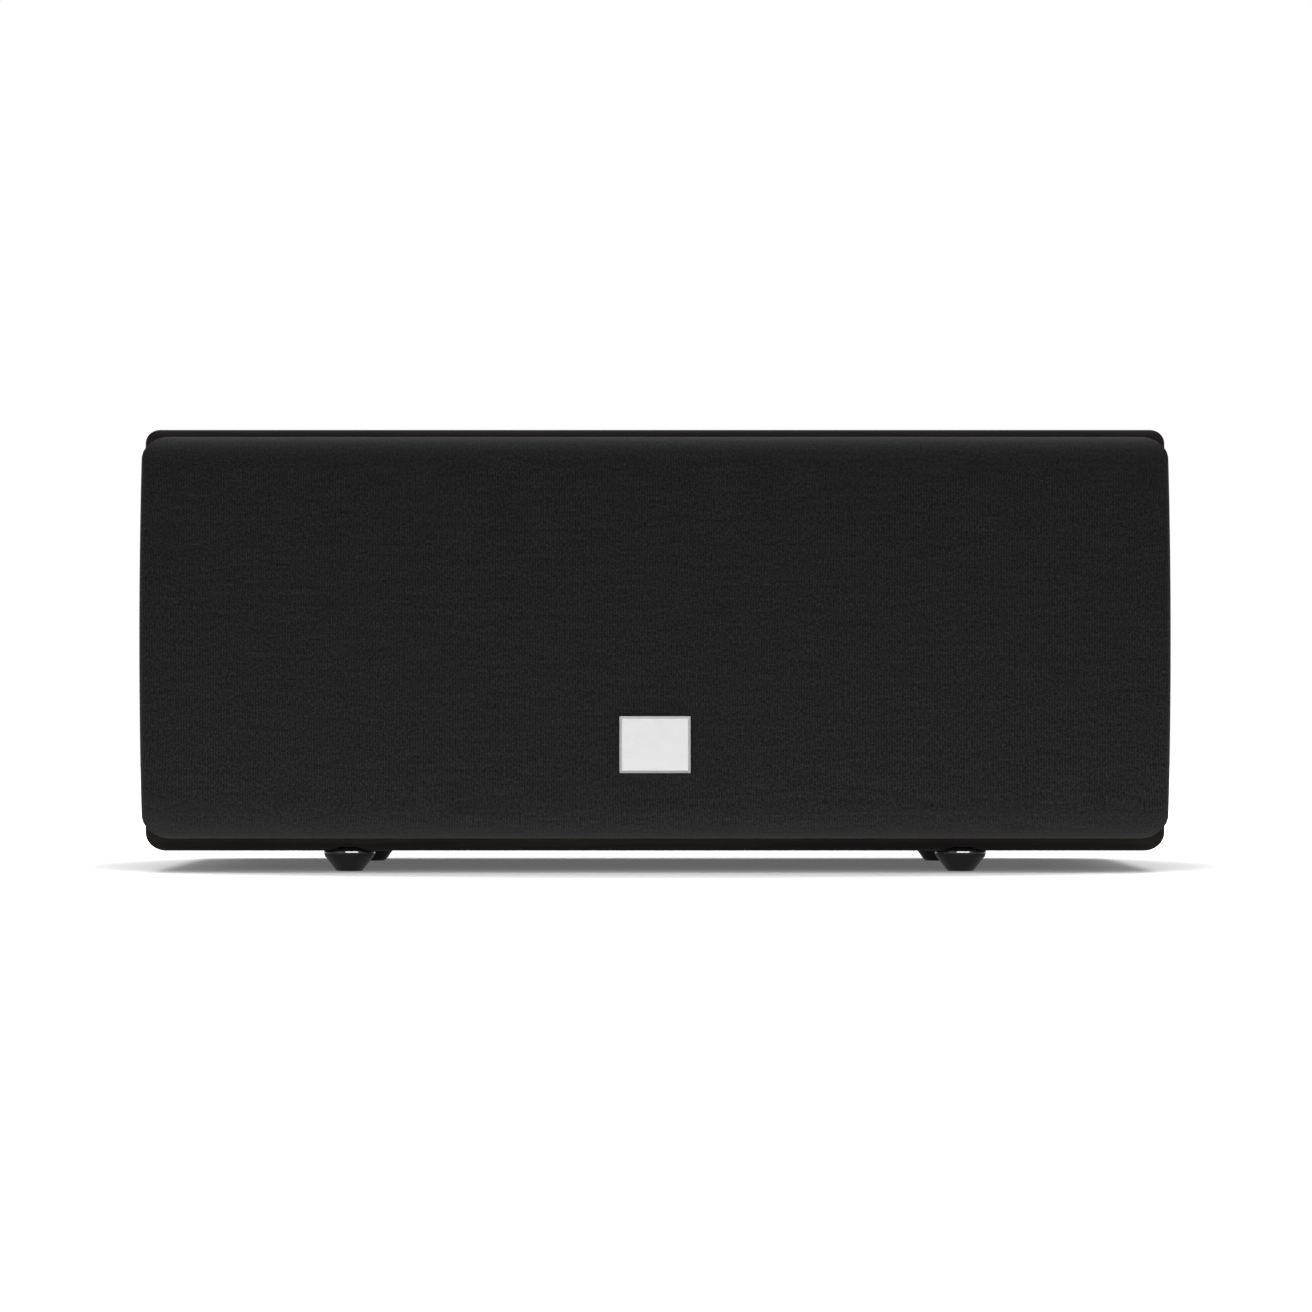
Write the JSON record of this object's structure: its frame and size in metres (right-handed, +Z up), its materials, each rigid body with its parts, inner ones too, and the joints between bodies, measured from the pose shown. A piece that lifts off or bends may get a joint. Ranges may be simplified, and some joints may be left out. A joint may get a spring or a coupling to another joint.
{
  "type": "center channel speaker",
  "caption": "Wide, low speaker cabinet with bowed ends, a full-front cloth grille over woofers and a horn-loaded dome, a rear port, terminals and conical feet.",
  "frame": {"origin": "on the floor under the middle of the speaker's box", "axes": "+X to the right seen from the front, +Y to the back, +Z up; the grille faces -Y"},
  "size_m": [0.4, 0.212, 0.1726],
  "materials": {
    "cabinet_vinyl": "satin dark wood-grain vinyl on fibreboard",
    "fibreboard": "raw",
    "black_board": "satin black vinyl",
    "foot_plastic": "gloss",
    "steel": "zinc plated",
    "black_steel": "black",
    "grille_fabric": "black knit",
    "black_plastic": "fine texture",
    "black_rubber": "matte",
    "plate_metal": "fine blasted",
    "cone_plastic": "graphite filled",
    "spider_cloth": "resin-dipped cotton",
    "copper": "enamelled wire",
    "ferrite": "ground ceramic",
    "dome_cloth": "coated silk",
    "gold_brass": "gold plated",
    "red_plastic": "gloss",
    "black_knob_plastic": "gloss",
    "board_laminate": "phenolic laminate",
    "capacitor_film": "satin",
    "white_ceramic": "matte",
    "white_plastic": "satin",
    "lead_plastic": "satin",
    "wadding": "loose fibre"
  },
  "bodies": {
    "cabinet": {"cabinet_shell": "cabinet_vinyl", "front_baffle": "fibreboard", "back_panel": "black_board", "brace_left": "fibreboard", "brace_right": "fibreboard", "foot_front_left": "foot_plastic", "foot_front_right": "foot_plastic", "foot_rear_left": "foot_plastic", "foot_rear_right": "foot_plastic", "foot_screws": "steel", "grille_sockets": "black_rubber", "woofer_basket_left": "black_steel", "woofer_basket_right": "black_steel", "woofer_gasket_left": "black_rubber", "woofer_gasket_right": "black_rubber", "woofer_surround_left": "black_rubber", "woofer_surround_right": "black_rubber", "woofer_spider_left": "spider_cloth", "woofer_spider_right": "spider_cloth", "woofer_top_plate_left": "steel", "woofer_top_plate_right": "steel", "woofer_magnet_left": "ferrite", "woofer_magnet_right": "ferrite", "woofer_back_plate_left": "steel", "woofer_back_plate_right": "steel", "driver_terminals": "gold_brass", "woofer_screws": "black_steel", "tweeter_waveguide": "black_plastic", "tweeter_top_plate": "steel", "tweeter_magnet": "ferrite", "tweeter_back_plate": "steel", "tweeter_screws": "black_steel", "port_tube": "black_plastic", "terminal_cup": "black_plastic", "cup_screws": "black_steel", "binding_posts": "gold_brass", "post_nuts": "steel", "crossover_board": "board_laminate", "crossover_coils": "copper", "crossover_capacitors": "capacitor_film", "crossover_resistor": "white_ceramic", "crossover_spacers": "white_plastic", "crossover_screws": "steel", "wiring": "lead_plastic", "damping_pads": "wadding"},
    "grille": {"grille_frame": "black_plastic", "grille_cloth": "grille_fabric", "badge": "plate_metal"},
    "left_diaphragm": {"woofer_cone_left": "cone_plastic", "woofer_dust_cap_left": "cone_plastic", "woofer_voice_coil_left": "copper"},
    "right_diaphragm": {"woofer_cone_right": "cone_plastic", "woofer_dust_cap_right": "cone_plastic", "woofer_voice_coil_right": "copper"},
    "tweeter_diaphragm": {"tweeter_dome": "dome_cloth", "tweeter_voice_coil": "copper"},
    "red_thread": {"red_insert": "gold_brass"},
    "black_thread": {"black_insert": "gold_brass"},
    "red_knob": {"red_knob": "red_plastic"},
    "black_knob": {"black_knob": "black_knob_plastic"}
  },
  "joints": [
    {"name": "grille_pull", "type": "slide", "parent": "cabinet", "child": "grille", "axis": [0, -1, 0], "range_m": [0, 0.04]},
    {"name": "left_cone_travel", "type": "slide", "parent": "cabinet", "child": "left_diaphragm", "axis": [0, -1, 0], "range_m": [-0.003, 0.003], "stiffness_N_per_m": 1200, "deforming": ["woofer_surround_left", "woofer_spider_left"]},
    {"name": "right_cone_travel", "type": "slide", "parent": "cabinet", "child": "right_diaphragm", "axis": [0, -1, 0], "range_m": [-0.003, 0.003], "stiffness_N_per_m": 1200, "deforming": ["woofer_surround_right", "woofer_spider_right"]},
    {"name": "tweeter_travel", "type": "slide", "parent": "cabinet", "child": "tweeter_diaphragm", "axis": [0, -1, 0], "range_m": [-0.0003, 0.0003], "stiffness_N_per_m": 1000, "deforming": ["tweeter_dome"]},
    {"name": "red_knob_travel", "type": "slide", "parent": "cabinet", "child": "red_thread", "axis": [0, 1, 0], "range_m": [0, 0.004]},
    {"name": "red_knob_turn", "type": "hinge", "parent": "red_thread", "child": "red_knob", "pos_m": [-0.0095, 0.09, 0.0903], "axis": [0, 1, 0], "range_deg": [0, 1441]},
    {"name": "black_knob_travel", "type": "slide", "parent": "cabinet", "child": "black_thread", "axis": [0, 1, 0], "range_m": [0, 0.004]},
    {"name": "black_knob_turn", "type": "hinge", "parent": "black_thread", "child": "black_knob", "pos_m": [0.0095, 0.09, 0.0903], "axis": [0, 1, 0], "range_deg": [0, 1441]}
  ],
  "couplings": [
    {"joint": "red_knob_turn", "follows": "red_knob_travel", "rad_per_m": 6283.2},
    {"joint": "black_knob_turn", "follows": "black_knob_travel", "rad_per_m": 6283.2}
  ]
}
